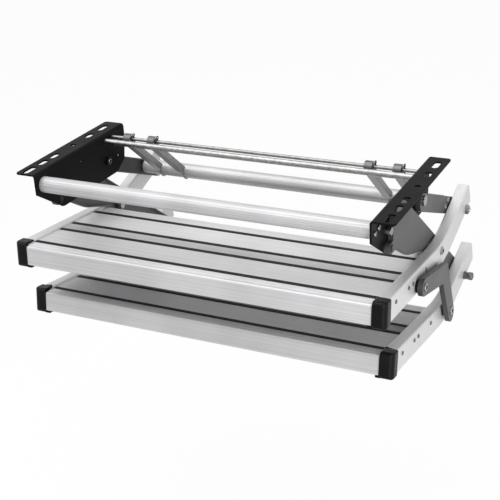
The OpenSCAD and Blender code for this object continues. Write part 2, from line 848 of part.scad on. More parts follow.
// One coil spring as an unbroken tube of wire, swept ring by ring along its helix
module spring(x) {
    n = coil_turns * coil_rings;
    rings = [for (i = [0 : n]) let (
        a = 360 * i / coil_rings,
        y = coil_top + (coil_bottom - coil_top) * i / n,
        out = [cos(a), 0, sin(a)],
        centre = [0, y, -draw_offset] + coil_r * out
    ) [for (j = [0 : coil_sides - 1]) let (b = 360 * j / coil_sides)
        centre + coil_wire / 2 * (cos(b) * out + sin(b) * [0, 1, 0])]];
    points = [for (r = rings) each r];
    faces = concat(
        [for (i = [0 : n - 1], j = [0 : coil_sides - 1]) let (
            k = (j + 1) % coil_sides, p = i * coil_sides, q = p + coil_sides
        ) each [[p + j, q + j, q + k], [p + j, q + k, p + k]]],
        [[for (j = [coil_sides - 1 : -1 : 0]) j]],
        [[for (j = [0 : coil_sides - 1]) n * coil_sides + j]]
    );
    color("#a9aaac") on_spring(x) polyhedron(points, faces);
}

at_datum() mirror([1, 0, 0]) bracket();  // left_bracket
at_datum() bracket();  // right_bracket
at_datum() front_cross_tube();
at_datum() tube_screws(front_tube, front_port_angles, plate_out, 2.4);  // front_tube_screws
at_datum() upper_cross_rod();
at_datum() spring_rod();
at_datum() stop_bushes();
at_datum() front_pivot_pins();
at_datum() rear_pivot_bolts();
at_datum() pivot_washers();
at_datum() mirror([1, 0, 0]) front_arm();  // left_front_arm
at_datum() front_arm();  // right_front_arm
at_datum() front_arm_washers();
at_datum() mirror([1, 0, 0]) rear_arm();  // left_rear_arm
at_datum() rear_arm();  // right_rear_arm
at_datum() rear_arm_washers();
at_datum() rear_cross_tube();
at_datum() tube_screws(rear_tube, rear_port_angles, arm_out, washer_gap - 0.2);  // rear_tube_screws
at_datum() mirror([1, 0, 0]) upper_rail();  // upper_left_rail
at_datum() upper_rail();  // upper_right_rail
at_datum() on_upper() nosing();  // upper_nosing
at_datum() on_upper() plank(0);  // upper_front_plank
at_datum() on_upper() plank(1);  // upper_narrow_plank
at_datum() on_upper() plank(2);  // upper_middle_plank
at_datum() on_upper() plank(3);  // upper_rear_plank
at_datum() on_upper() grip_strips();  // upper_grip_strips
at_datum() on_upper() mirror([1, 0, 0]) cap();  // upper_left_cap
at_datum() on_upper() cap();  // upper_right_cap
at_datum() on_upper() plank_screws();  // upper_plank_screws
at_datum() upper_front_pivot_bolts();
at_datum() upper_rear_pivot_bolts();
at_datum() upper_link_bolts();
at_datum() mirror([1, 0, 0]) lower_rail();  // lower_left_rail
at_datum() lower_rail();  // lower_right_rail
at_datum() on_lower() nosing();  // lower_nosing
at_datum() on_lower() plank(0);  // lower_front_plank
at_datum() on_lower() plank(1);  // lower_narrow_plank
at_datum() on_lower() plank(2);  // lower_middle_plank
at_datum() on_lower() plank(3);  // lower_rear_plank
at_datum() on_lower() grip_strips();  // lower_grip_strips
at_datum() on_lower() mirror([1, 0, 0]) cap();  // lower_left_cap
at_datum() on_lower() cap();  // lower_right_cap
at_datum() on_lower() plank_screws();  // lower_plank_screws
at_datum() lower_pivot_studs();
at_datum() lower_link_bolts();
at_datum() mirror([1, 0, 0]) link();  // left_link
at_datum() link();  // right_link
at_datum() link_spacers();
at_datum() cover(-spring_x[1]);  // outer_left_cover
at_datum() cover(-spring_x[0]);  // inner_left_cover
at_datum() cover(spring_x[0]);  // inner_right_cover
at_datum() cover(spring_x[1]);  // outer_right_cover
at_datum() draw_bars();
at_datum() spring(-spring_x[1]);  // outer_left_spring
at_datum() spring(-spring_x[0]);  // inner_left_spring
at_datum() spring(spring_x[0]);  // inner_right_spring
at_datum() spring(spring_x[1]);  // outer_right_spring
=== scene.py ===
"""A folding double entrance step for a caravan, dressed over its CAD frame."""

import math

import bmesh
import bpy
from bpy.props import FloatProperty, FloatVectorProperty, IntProperty, PointerProperty
from mathutils import Euler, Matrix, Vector


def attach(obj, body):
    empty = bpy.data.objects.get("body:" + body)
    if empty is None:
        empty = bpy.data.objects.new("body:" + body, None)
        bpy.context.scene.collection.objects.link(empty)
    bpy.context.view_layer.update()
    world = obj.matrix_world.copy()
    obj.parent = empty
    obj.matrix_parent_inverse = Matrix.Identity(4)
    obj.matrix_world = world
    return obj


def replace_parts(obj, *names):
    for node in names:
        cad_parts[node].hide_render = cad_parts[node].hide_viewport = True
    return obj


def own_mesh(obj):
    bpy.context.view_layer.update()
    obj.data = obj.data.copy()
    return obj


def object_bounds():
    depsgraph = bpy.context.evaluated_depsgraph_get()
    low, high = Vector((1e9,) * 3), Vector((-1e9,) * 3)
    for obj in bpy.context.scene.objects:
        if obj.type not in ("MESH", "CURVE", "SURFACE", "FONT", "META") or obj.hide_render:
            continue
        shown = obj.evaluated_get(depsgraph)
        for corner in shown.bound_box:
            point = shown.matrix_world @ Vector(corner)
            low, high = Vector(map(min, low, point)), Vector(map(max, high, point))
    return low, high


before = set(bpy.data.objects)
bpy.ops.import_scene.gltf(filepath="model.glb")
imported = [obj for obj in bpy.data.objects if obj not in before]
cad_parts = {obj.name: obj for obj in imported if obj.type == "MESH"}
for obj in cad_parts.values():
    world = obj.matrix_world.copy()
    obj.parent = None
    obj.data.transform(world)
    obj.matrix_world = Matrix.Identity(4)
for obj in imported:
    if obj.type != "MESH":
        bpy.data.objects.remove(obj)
cad_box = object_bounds()

bl_info = {
    "name": "Caravan pull out step",
    "version": (1, 0, 0),
    "blender": (4, 2, 0),
    "location": "View3D > Sidebar > Step",
    "description": "Dresses a folding double entrance step with finishes, fasteners and springs",
    "category": "Object",
}

MM = 0.001

# Points closer than this are merged, in copies of CAD meshes and in meshes made here
WELD = 1e-6
FINE_WELD = 1e-7

# Seed of the random turns of the screws
SEED = 7

# Places across the step, as distances from its middle. The caps are rounded outside CAP_IN
PLATE_IN = 268 * MM
PLATE_OUT = 271 * MM
ARM_IN = 272 * MM
ARM_OUT = 280 * MM
RAIL_IN = 281 * MM
RAIL_OUT = 300 * MM
LINK_OUT = 313 * MM
CAP_IN = 280 * MM

# Pivots, seen from the side
FRONT_PIVOT = (-80.5 * MM, -62 * MM)
REAR_PIVOT = (60.5 * MM, -47 * MM)
UPPER_FRONT_PIVOT = (91.5 * MM, -139.5 * MM)
UPPER_REAR_PIVOT = (223.5 * MM, -124.5 * MM)
UPPER_REAR_EYE = (223.86 * MM, -123.63 * MM)
LOWER_PIVOT = (225.5 * MM, -244 * MM)
UPPER_LINK_PIVOT = (-29.5 * MM, -141 * MM)
LOWER_LINK_PIVOT = (108 * MM, -248.5 * MM)
STOP_BUSH = (-79.8 * MM, -37 * MM)

# Fasteners: the pins in the arms and rails, their nuts, and the slack under a head or a nut
PIN_R = 4 * MM
NUT_R = 7 * MM
NUT_H = 4 * MM
SLACK = 0.05 * MM
THREAD_DEPTH = 0.35 * MM

# Spring units by name, with their places across the step
SPRINGS = {
    "outer_left": -234.5 * MM, "inner_left": -189 * MM,
    "inner_right": 189 * MM, "outer_right": 234.5 * MM}
COVER_HALF = 6.5 * MM

# The springs lie on lines from the spring rod towards the rear tube, a little below them
SPRING_ROD = (81.5 * MM, -11.5 * MM)
SPRING_ROD_R = 3 * MM
SPRING_LINE = (0.75484, -0.65592)
SPRING_BELOW = 1.9 * MM

# Each coil: where it starts and ends along that line, its radius and the points in each turn
COIL_START = 43.5 * MM
COIL_END = 114.5 * MM
COIL_R = 2.3 * MM
COIL_STEPS = 20

# Noise scales across and along the die lines, how much wider their broad ones are, and the
# scale along the streaks of the rubber
ACROSS_LINES = 900.0
ALONG_LINES = 1.5
BROAD_LINES = 7
ALONG_STREAKS = 4.0

# Stage: the lamps look at the middle of the step, and the camera is solved on the photograph
AIM = (0, 0, -0.13)
KEY_AT = (-0.5, -0.5, 2.1)
KEY_SIZE = 3.0
FILL_AT = (2.0, -1.5, -0.05)
FILL_SIZE = 1.2
CAMERA_AT = (0.729149, -1.385959, 0.585716)
CAMERA_TURN = (64.946506, 3.056875, 25.659023)
FLOOR_HALF = 6.0
WHITE = (1, 1, 1, 1)


# Shader maths

class Signal:
    """A value or colour inside a material, which can be used in sums."""

    def __init__(self, paint, socket):
        self.paint = paint
        self.socket = socket

    def _math(self, operation, other):
        return self.paint.node("ShaderNodeMath", {"operation": operation}, self, other)

    def __add__(self, other):
        return self._math("ADD", other)

    def __mul__(self, other):
        return self._math("MULTIPLY", other)


class Paint:
    """One procedural material, built on a Principled shader."""

    def __init__(self, name):
        self.material = bpy.data.materials.new(name)
        self.material.use_nodes = True
        self.tree = self.material.node_tree
        self.tree.nodes.clear()
        self.out = self.tree.nodes.new("ShaderNodeOutputMaterial")
        self.skin = self.tree.nodes.new("ShaderNodeBsdfPrincipled")
        self.tree.links.new(self.skin.outputs[0], self.out.inputs["Surface"])
        self.place = self.tree.nodes.new("ShaderNodeTexCoord").outputs["Object"]

    def node(self, kind, settings, *values, **named):
        """Adds a node of any kind: its settings first, then its sockets in order or by name."""
        made = self.tree.nodes.new(kind)
        for key, value in settings.items():
            setattr(made, key, value)
        for key, value in (*enumerate(values), *named.items()):
            self.join(made.inputs[key], value)
        return Signal(self, made.outputs[0])

    def join(self, socket, value):
        """Links a signal or another node's socket, or sets a plain value."""
        if isinstance(value, Signal):
            self.tree.links.new(value.socket, socket)
        elif isinstance(value, bpy.types.NodeSocket):
            self.tree.links.new(value, socket)
        else:
            socket.default_value = value

    def put(self, name, value):
        """Sets one input of the Principled shader."""
        self.join(self.skin.inputs[name], value)

    def height(self):
        """The height in the object's own coordinates."""
        split = self.tree.nodes.new("ShaderNodeSeparateXYZ")
        self.tree.links.new(self.place, split.inputs[0])
        return Signal(self, split.outputs["Z"])

    def noise(self, scale, detail, stretch=(1, 1, 1)):
        """Soft noise, from 0 to 1, with its own scale along each axis."""
        moved = self.node("ShaderNodeMapping", {}, self.place, Scale=stretch)
        return self.node("ShaderNodeTexNoise", {}, Vector=moved, Scale=scale, Detail=detail)

    def spread(self, value, low, high, to_low=0.0, to_high=1.0):
        """Maps a range of a value onto another, clamped."""
        return self.node("ShaderNodeMapRange", {"clamp": True}, value, low, high, to_low, to_high)

    def blend(self, amount, first, second):
        """Mixes two colours. The node's sockets 6 and 7 are its colours, and 2 is their mix."""
        mixed = self.tree.nodes.new("ShaderNodeMix")
        mixed.data_type = "RGBA"
        self.join(mixed.inputs[0], amount)
        for socket, colour in ((mixed.inputs[6], first), (mixed.inputs[7], second)):
            self.join(socket, colour if isinstance(colour, Signal) else (*colour[:3], 1))
        return Signal(self, mixed.outputs[2])

    def bump(self, height, depth, strength):
        """A normal that follows a height over a depth in metres."""
        return self.node("ShaderNodeBump", {}, Height=height, Distance=depth, Strength=strength)


def shade(colour, factor):
    """The same colour, lighter or darker."""
    return tuple(min(1.0, c * factor) for c in colour[:3])


# Finishes

def anodised(name, colour, along, metallic, rough, streak=0.12, gloss=0.5):
    """Satin anodised extrusion, with die lines along one axis."""
    paint = Paint(name)
    lines = [ACROSS_LINES] * 3
    lines["XYZ".index(along)] = ALONG_LINES
    fine = paint.noise(1.0, 2.0, lines)
    broad = paint.noise(1.0, 2.0, [scale / BROAD_LINES for scale in lines])
    cloud = paint.noise(9.0, 2.0)
    tone = paint.spread(fine * 0.6 + broad * 0.4, 0.3, 0.7)
    paint.put("Base Color", paint.blend(
        tone * 0.75 + paint.spread(cloud, 0.35, 0.65) * 0.25,
        shade(colour, 1 - streak), shade(colour, 1 + streak / 2)))
    paint.put("Metallic", metallic)
    paint.put("Roughness", paint.spread(tone, 0.0, 1.0, rough - 0.05, rough + 0.07))
    paint.put("Specular IOR Level", gloss)
    paint.put("Normal", paint.bump(fine, 0.06 * MM, 0.55))
    return paint.material


def powder_coat(name, colour, roughness, gloss):
    """Satin powder coat with a very fine orange peel and rubbed patches."""
    paint = Paint(name)
    peel = paint.noise(1400.0, 2.0)
    cloud = paint.noise(22.0, 4.0)
    worn = paint.spread(paint.noise(75.0, 6.0), 0.62, 0.78)
    paint.put("Base Color", paint.blend(
        paint.spread(cloud, 0.35, 0.7) * 0.8 + worn * 0.2, shade(colour, 0.8), shade(colour, 1.35)))
    paint.put("Roughness", paint.spread(cloud, 0.3, 0.7, roughness - 0.05, roughness + 0.07))
    paint.put("Normal", paint.bump(peel, 0.12 * MM, 0.35))
    paint.put("Specular IOR Level", gloss)
    return paint.material


def plated(name, colour, roughness, metallic=1.0, painted_shade_above=None):
    """Bright or dark plated steel with a faint mottle, and painted shade above a height where
    asked.
    """
    paint = Paint(name)
    mottle = paint.noise(160.0, 4.0)
    spots = paint.noise(900.0, 2.0)
    plate = paint.blend(
        paint.spread(mottle, 0.35, 0.65), shade(colour, 0.78), shade(colour, 1.12))
    if painted_shade_above is not None:
        # Painted shade: above the height the plate darkens, standing in for the shade at the spring
        # covers' eyes
        height = paint.height() + mottle * (3 * MM)
        plate = paint.blend(
            paint.spread(height, painted_shade_above, painted_shade_above + 6 * MM), plate, shade(colour, 0.55))
    paint.put("Base Color", plate)
    paint.put("Metallic", metallic)
    paint.put("Roughness", paint.spread(
        mottle * 0.6 + spots * 0.4, 0.35, 0.65, roughness - 0.06, roughness + 0.1))
    paint.put("Normal", paint.bump(spots, 0.03 * MM, 0.4))
    return paint.material


def black_rubber(name, colour):
    """Matt rubber strip with faint streaks along its length."""
    paint = Paint(name)
    streak = paint.noise(1.0, 3.0, (ALONG_STREAKS, ACROSS_LINES, ACROSS_LINES))
    dust = paint.noise(300.0, 5.0)
    paint.put("Base Color", paint.blend(
        paint.spread(dust, 0.4, 0.75), colour[:3], shade(colour, 2.0)))
    paint.put("Roughness", paint.spread(streak, 0.3, 0.7, 0.55, 0.72))
    paint.put("Specular IOR Level", 0.25)
    paint.put("Normal", paint.bump(streak, 0.1 * MM, 0.4))
    return paint.material


def moulded_plastic(name, colour):
    """Moulded plastic with a spark eroded grain."""
    paint = Paint(name)
    grain = paint.node("ShaderNodeTexVoronoi", {}, Vector=paint.place, Scale=1500.0)
    cloud = paint.noise(40.0, 3.0)
    paint.put("Base Color", paint.blend(
        paint.spread(cloud, 0.3, 0.7), shade(colour, 0.8), shade(colour, 1.4)))
    paint.put("Roughness", paint.spread(cloud, 0.3, 0.7, 0.3, 0.4))
    paint.put("Specular IOR Level", 0.1)
    paint.put("Normal", paint.bump(grain, 0.06 * MM, 0.25))
    return paint.material


# Pieces and meshes

def link(obj):
    """Puts an object in the scene."""
    bpy.context.scene.collection.objects.link(obj)
    return obj


def piece_from(mesh, name, body):
    """Makes a mesh an object that rides with a body and takes a finish."""
    obj = link(bpy.data.objects.new(name, mesh))
    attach(obj, body)
    return obj


def dress(names, material):
    """Gives CAD nodes a finish."""
    for name in names:
        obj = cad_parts[name]
        if obj.material_slots:
            for slot in obj.material_slots:
                slot.material = material
        else:
            obj.data.materials.append(material)


def smooth_edges(mesh, degrees=38):
    """Shades a mesh smooth, apart from edges sharper than an angle."""
    mesh.polygons.foreach_set("use_smooth", [True] * len(mesh.polygons))
    mesh.set_sharp_from_angle(angle=math.radians(degrees))
    mesh.update()


def closed_mesh(name, verts, faces, degrees):
    """Makes a mesh whose faces all look outwards."""
    mesh = bpy.data.meshes.new(name)
    mesh.from_pydata(verts, [], faces)
    work = bmesh.new()
    work.from_mesh(mesh)
    bmesh.ops.remove_doubles(work, verts=work.verts, dist=FINE_WELD)
    bmesh.ops.recalc_face_normals(work, faces=work.faces)
    work.to_mesh(mesh)
    work.free()
    smooth_edges(mesh, degrees)
    return mesh


def bake(obj):
    """Turns an object's evaluated geometry into a plain mesh, and removes the object."""
    graph = bpy.context.evaluated_depsgraph_get()
    graph.update()
    mesh = bpy.data.meshes.new_from_object(obj.evaluated_get(graph))
    obj.modifiers.clear()
    bpy.data.objects.remove(obj)
    return mesh


# Turned and six sided shapes

class Turning:
    """Gathers turned and six sided shapes whose axes run across the step."""

    def __init__(self, sides=48):
        self.sides = sides
        self.verts = []
        self.faces = []
        self.kinds = []

    def turn(self, centre, rings, kind=0, dark_from=None):
        """Sweeps rings outwards across the step; each is (place, radius) or gives it by angle.

        Faces take the finish numbered kind, and those from the ring dark_from on the next one."""
        n = self.sides
        start = len(self.verts)
        for ring in rings:
            for i in range(n):
                angle = 2 * math.pi * i / n
                x, r = ring(angle) if callable(ring) else ring
                self.verts.append(
                    (x, centre[0] + r * math.cos(angle), centre[1] + r * math.sin(angle)))
        for k in range(len(rings) - 1):
            for i in range(n):
                a, b = start + k * n + i, start + k * n + (i + 1) % n
                self.faces.append((a, b, b + n, a + n))
                self.kinds.append(kind + (dark_from is not None and k >= dark_from % len(rings)))
        end = start + (len(rings) - 1) * n
        head, tail = len(self.verts), len(self.verts) + 1
        self.verts += [(self.verts[start][0], *centre), (self.verts[end][0], *centre)]
        for i in range(n):
            j = (i + 1) % n
            self.faces += [(head, start + j, start + i), (tail, end + i, end + j)]
            self.kinds += [kind, kind + (dark_from is not None)]

    def mesh(self, name, *finishes):
        """Makes the mesh, with its mirror image on the left."""
        offset = len(self.verts)
        verts = self.verts + [(-x, y, z) for x, y, z in self.verts]
        faces = self.faces + [tuple(offset + i for i in reversed(face)) for face in self.faces]
        mesh = bpy.data.meshes.new(name)
        mesh.from_pydata(verts, [], faces)
        for finish in finishes:
            mesh.materials.append(finish)
        mesh.polygons.foreach_set("material_index", self.kinds * 2)
        smooth_edges(mesh)
        return mesh

    def piece(self, name, body, node, *finishes):
        """Makes the mesh a piece that takes the place of a CAD node."""
        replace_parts(piece_from(self.mesh(name, *finishes), name, body), node)


def six_sided(angle, radius):
    """Distance from the middle of a hexagon to its edge."""
    part = (angle + math.pi / 6) % (math.pi / 3) - math.pi / 6
    return radius * math.cos(math.pi / 6) / math.cos(math.pi / 6 - abs(part))


def nut_rings(x0, x1, radius, free_start):
    """A hexagon nut or head with a turned chamfer at its free end, its start or else its end."""
    across = radius * math.cos(math.pi / 6)

    # The chamfer starts just inside the flats and cuts the corners back at a slope
    start, top_edge, slope = across * 0.99, across * 0.985, 0.6

    def ring(x, way, top):
        def at(angle):
            r = six_sided(angle, radius)
            return (x + way * max(0.0, r - start) * slope, top_edge if top else r)
        return at

    if free_start:
        return [ring(x0, 0, True), ring(x0, 1, False), ring(x1, 0, False)]
    return [ring(x0, 0, False), ring(x1, -1, False), ring(x1, 0, True)]


def arm_nut():
    """A nut inside the arm, and the pin that runs from it to the rail's outer face."""
    seat = ARM_IN - SLACK
    return [*nut_rings(seat - NUT_H, seat, NUT_R, True), (seat, PIN_R), (RAIL_OUT, PIN_R)]


def thread_rings(x0, x1, radius, pitch):
    """A threaded length, as a helical wave on a rod."""
    rings_per_turn = 6
    steps = max(2, round((x1 - x0) / pitch * rings_per_turn))

    def ring(x):
        def at(angle):
            phase = ((x - x0) / pitch + angle / (2 * math.pi)) % 1.0
            return (x, radius - THREAD_DEPTH * (1 - abs(2 * phase - 1)))
        return at

    return ([(x0, radius - THREAD_DEPTH)]
            + [ring(x0 + (x1 - x0) * i / steps) for i in range(steps + 1)]
            + [(x1 + 0.2 * MM, radius - THREAD_DEPTH * 1.5)])


def socket_head(x0, x1, radius, socket, well):
    """A low domed head with a round socket."""
    steps, rim = 8, 0.3
    rings = [(x0, radius), (x0 + rim * (x1 - x0), radius)]
    for i in range(1, steps + 1):
        share = i / steps
        r = radius + (socket + 0.5 * MM - radius) * share
        rings.append((x0 + (x1 - x0) * (rim + (1 - rim) * math.sin(math.pi / 2 * share)), r))
    return rings + [(x1, socket), (x1 - well, socket * 0.96)]


def rounded_rings(x0, x1, radius, edge, dimple=0.0, well=0.0):
    """A disc whose outer edge is rounded and whose end may have a dimple."""
    steps = 6
    rings = [(x0, radius)]
    for i in range(steps + 1):
        angle = math.pi / 2 * i / steps
        rings.append((x1 - edge * (1 - math.sin(angle)), radius - edge * (1 - math.cos(angle))))
    if dimple:
        rings += [(x1, dimple + 0.3 * MM), (x1 - 0.15 * MM, dimple), (x1 - well, dimple * 0.72)]
    return rings


# Screws, set out with Geometry Nodes

def set_input(modifier, name, value):
    """Sets a modifier's named input by its socket's identifier."""
    for item in modifier.node_group.interface.items_tree:
        if item.item_type == "SOCKET" and item.in_out == "INPUT" and item.name == name:
            modifier[item.identifier] = value
            return
    raise KeyError(name)


def copies_tree():
    """Puts one copy of a pattern on each point, by the point's own angles and a random twist."""
    tree = bpy.data.node_groups.new("copies_on_points", "GeometryNodeTree")
    sockets = tree.interface
    sockets.new_socket("Points", in_out="INPUT", socket_type="NodeSocketGeometry")
    for name, kind in (("Pattern", "NodeSocketObject"), ("Twist", "NodeSocketFloat"),
                       ("Seed", "NodeSocketInt"), ("Finish", "NodeSocketMaterial")):
        sockets.new_socket(name, in_out="INPUT", socket_type=kind)
    sockets.new_socket("Copies", in_out="OUTPUT", socket_type="NodeSocketGeometry")
    new, join = tree.nodes.new, tree.links.new
    given, out = new("NodeGroupInput"), new("NodeGroupOutput")
    pattern = new("GeometryNodeObjectInfo")
    turn = new("GeometryNodeInputNamedAttribute")
    turn.data_type = "FLOAT_VECTOR"
    turn.inputs["Name"].default_value = "turn"
    chance = new("FunctionNodeRandomValue")
    chance.data_type = "FLOAT"
    twist = new("ShaderNodeCombineXYZ")
    total = new("ShaderNodeVectorMath")
    total.operation = "ADD"
    facing = new("FunctionNodeEulerToRotation")
    place = new("GeometryNodeInstanceOnPoints")
    real = new("GeometryNodeRealizeInstances")
    paint = new("GeometryNodeSetMaterial")
    join(given.outputs["Points"], place.inputs["Points"])
    join(given.outputs["Pattern"], pattern.inputs["Object"])
    join(pattern.outputs["Geometry"], place.inputs["Instance"])
    join(given.outputs["Twist"], next(i for i in chance.inputs if i.enabled and i.name == "Max"))
    join(given.outputs["Seed"], chance.inputs["Seed"])
    join(next(o for o in chance.outputs if o.enabled), twist.inputs[0])
    join(next(o for o in turn.outputs if o.enabled and o.name == "Attribute"), total.inputs[0])
    join(twist.outputs[0], total.inputs[1])
    join(total.outputs[0], facing.inputs[0])
    join(facing.outputs[0], place.inputs["Rotation"])
    join(place.outputs["Instances"], real.inputs["Geometry"])
    join(real.outputs["Geometry"], paint.inputs["Geometry"])
    join(given.outputs["Finish"], paint.inputs["Material"])
    join(paint.outputs["Geometry"], out.inputs["Copies"])
    return tree


def scatter(name, body, mesh, places, twist, finish):
    """Sets copies of a mesh at places, each (across, y, z), turned round on the left side."""
    pattern = bpy.data.objects.new(name + "_pattern", mesh)
    points = bpy.data.meshes.new(name + "_points")
    points.from_pydata(places, [], [])
    turn = points.attributes.new("turn", "FLOAT_VECTOR", "POINT")
    for i, place in enumerate(places):
        turn.data[i].vector = (0.0, 0.0, 0.0 if place[0] > 0 else math.pi)
    holder = link(bpy.data.objects.new(name + "_points", points))
    nodes = holder.modifiers.new("Copies", "NODES")
    nodes.node_group = copies_tree()
    for key, value in (("Pattern", pattern), ("Twist", twist), ("Seed", SEED), ("Finish", finish)):
        set_input(nodes, key, value)
    copies = bake(holder)
    copies.name = name
    bpy.data.objects.remove(pattern)
    return piece_from(copies, name, body)


def screw_mesh(name, head_r, head_h, shank_r, length, recess):
    """A pan head screw along +X, with its head's seat at the origin and a cross recess."""
    sides, steps = 48, 14
    arm, depth = head_r * 0.62, head_h * 0.5
    verts, faces = [], []
    for k in range(steps + 1):
        share = k / steps
        r = head_r * math.sin(math.pi / 2 * share) if share < 1 else head_r
        x = head_h * (1 - share ** 4) if share < 1 else 0.0
        for i in range(sides):
            angle = 2 * math.pi * i / sides
            y, z = r * math.cos(angle), r * math.sin(angle)
            sunk = min(abs(y), abs(z)) < recess / 2 and r < arm
            verts.append((x - (depth if sunk else 0.0), y, z))
    for k in range(steps):
        for i in range(sides):
            a, b = k * sides + i, k * sides + (i + 1) % sides
            faces.append((a + sides, b + sides, b, a) if k else (a + sides, b + sides, b))
    shank = Turning(sides)
    shank.turn((0, 0), [(-length, shank_r * 0.4), (-length + shank_r, shank_r), (0.0, shank_r),
                        (0.0, head_r * 0.98)])
    offset = len(verts)
    faces += [tuple(offset + i for i in face) for face in shank.faces]
    return closed_mesh(name, verts + shank.verts, faces, 30)


def solids_of(name):
    """Boxes of the separate solids in a CAD node, as lowest and highest corners."""
    work = bmesh.new()
    work.from_mesh(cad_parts[name].data)
    bmesh.ops.remove_doubles(work, verts=work.verts, dist=WELD)
    seen, found = set(), []
    for vert in work.verts:
        if vert in seen:
            continue
        stack, group = [vert], []
        seen.add(vert)
        while stack:
            current = stack.pop()
            group.append(current.co.copy())
            for edge in current.link_edges:
                other = edge.other_vert(current)
                if other not in seen:
                    seen.add(other)
                    stack.append(other)
        found.append([Vector([pick(p[i] for p in group) for i in range(3)])
                      for pick in (min, max)])
    work.free()
    return found


def screw_seats(name, face):
    """Seats of the screws in a CAD node, on a face at a distance from the middle."""
    return [(face if low.x + high.x > 0 else -face, (low.y + high.y) / 2, (low.z + high.z) / 2)
            for low, high in solids_of(name)]


# Wires and springs

def tube_faces(rings, sides):
    """Faces of a tube through rings of points, with closed ends."""
    faces, last = [], (rings - 1) * sides
    for a in range(0, last, sides):
        for j in range(sides):
            k = (j + 1) % sides
            faces.append((a + j, a + k, a + sides + k, a + sides + j))
    return faces + [tuple(reversed(range(sides))), tuple(range(last, last + sides))]


def wire_mesh(name, path, wire, sides=12):
    """A round wire bent along a path that stays at one place across the step."""
    verts = []
    points = [Vector(p) for p in path]
    across = Vector((1, 0, 0))
    for i, point in enumerate(points):
        ahead = (points[min(i + 1, len(points) - 1)] - points[max(i - 1, 0)]).normalized()
        out = ahead.cross(across).normalized()
        for j in range(sides):
            angle = 2 * math.pi * j / sides
            verts.append(point + wire / 2 * (math.cos(angle) * across + math.sin(angle) * out))
    return closed_mesh(name, verts, tube_faces(len(points), sides), 60)


def split_pin_path(rod, loop, leg):
    """A split pin through a rod: a loop above it and two spread legs below."""
    # Half the distance between the legs, and how far each bends outwards on its way down
    half, bent, spread = 0.95 * MM, 0.9 * MM, 2.4 * MM
    down = [(half, rod), (half, -rod * 0.8), (half + bent, -rod - leg * 0.5),
            (half + spread, -rod - leg)]
    path = [(0, -y, z) for y, z in reversed(down)]
    first, sweep, steps, middle = -110, 320, 14, rod + loop * 1.8
    for i in range(steps + 1):
        angle = math.radians(first - sweep * i / steps)
        path.append((0, loop * math.cos(angle), middle + loop * math.sin(angle)))
    return path + [(0, y, z) for y, z in down]


def on_spring_line(along):
    """A place on a spring's axis, seen from the side."""
    y, z = SPRING_LINE
    return (SPRING_ROD[0] + along * y + SPRING_BELOW * z,
            SPRING_ROD[1] + along * z - SPRING_BELOW * y)


def coil(name, x, wire, turns, sides):
    """A compression spring whose end turns close up."""
    start = Vector((x, *on_spring_line(COIL_START)))
    axis = Vector((x, *on_spring_line(COIL_END))) - start
    length = axis.length
    axis.normalize()
    up = Vector((1, 0, 0))
    out = axis.cross(up)
    shut_pitch = wire * 1.08
    verts = []
    for i in range(turns * COIL_STEPS + 1):
        turn = i / COIL_STEPS
        shut = (min(turn, 1.0) + max(0.0, turn - (turns - 1))) * shut_pitch
        spread = min(max(turn - 1, 0.0), turns - 2) / (turns - 2)
        along = wire / 2 + shut + spread * (length - wire - 2 * shut_pitch)
        angle = 2 * math.pi * turn
        ray = math.cos(angle) * up + math.sin(angle) * out
        middle = start + along * axis + COIL_R * ray
        for j in range(sides):
            around = 2 * math.pi * j / sides
            verts.append(middle + wire / 2 * (math.cos(around) * ray + math.sin(around) * axis))
    return closed_mesh(name, verts, tube_faces(turns * COIL_STEPS + 1, sides), 60)


# Copies of CAD nodes with rounded edges

def sharp_edges(work, sharp, beyond):
    """Edges sharper than an angle; with a distance, only those beyond it on the outside."""
    def corner(vert):
        return tuple(round(c, 6) for c in vert.co)

    hull = None
    if beyond:
        shell = work.copy()
        made = bmesh.ops.convex_hull(shell, input=shell.verts, use_existing_faces=False)["geom"]
        hull = {corner(v) for f in made if isinstance(f, bmesh.types.BMFace) for v in f.verts}
        shell.free()
    return [
        edge for edge in work.edges
        if len(edge.link_faces) == 2 and edge.calc_face_angle() > math.radians(sharp)
        and (hull is None or edge.is_convex and all(
            abs(v.co.x) > beyond and corner(v) in hull for v in edge.verts))]


def rounded_copy(node, body, radius, material, sharp=35, steps=2, beyond=0.0):
    """A copy of a CAD node with rounded edges, which takes the node's place."""
    name = node + "_rounded"
    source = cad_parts[node]
    work = bmesh.new()
    work.from_mesh(source.data)
    work.transform(source.matrix_world)
    bmesh.ops.remove_doubles(work, verts=work.verts, dist=WELD)
    bmesh.ops.dissolve_limit(
        work, angle_limit=math.radians(0.5), verts=work.verts, edges=work.edges,
        use_dissolve_boundaries=False)
    bmesh.ops.bevel(
        work, geom=sharp_edges(work, sharp, beyond), offset=radius, offset_type="WIDTH",
        segments=steps, profile=0.5, affect="EDGES", clamp_overlap=False, loop_slide=False)
    bmesh.ops.remove_doubles(work, verts=work.verts, dist=FINE_WELD)
    if any(len(e.link_faces) != 2 for e in work.edges):
        raise RuntimeError(f"{node}: the rounded copy isn't closed")
    mesh = bpy.data.meshes.new(name)
    work.to_mesh(mesh)
    work.free()
    mesh.materials.clear()
    mesh.materials.append(material)
    smooth_edges(mesh)
    holder = link(bpy.data.objects.new(node + "_holder", mesh))
    shading = holder.modifiers.new("Flat faces stay flat", "WEIGHTED_NORMAL")
    shading.keep_sharp = True
    shading.weight = 80
    even = bake(holder)
    even.name = name
    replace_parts(piece_from(even, name, body), node)


# Settings

def colour_setting(name, text, default):
    """A colour that the panel shows."""
    return FloatVectorProperty(
        name=name, description=text, subtype="COLOR", size=3, min=0, max=1, default=default)


def size_setting(name, text, default, low, high):
    """A length in millimetres that the panel shows."""
    return FloatProperty(name=name, description=text, unit="LENGTH",
                         default=default * MM, min=low * MM, max=high * MM)


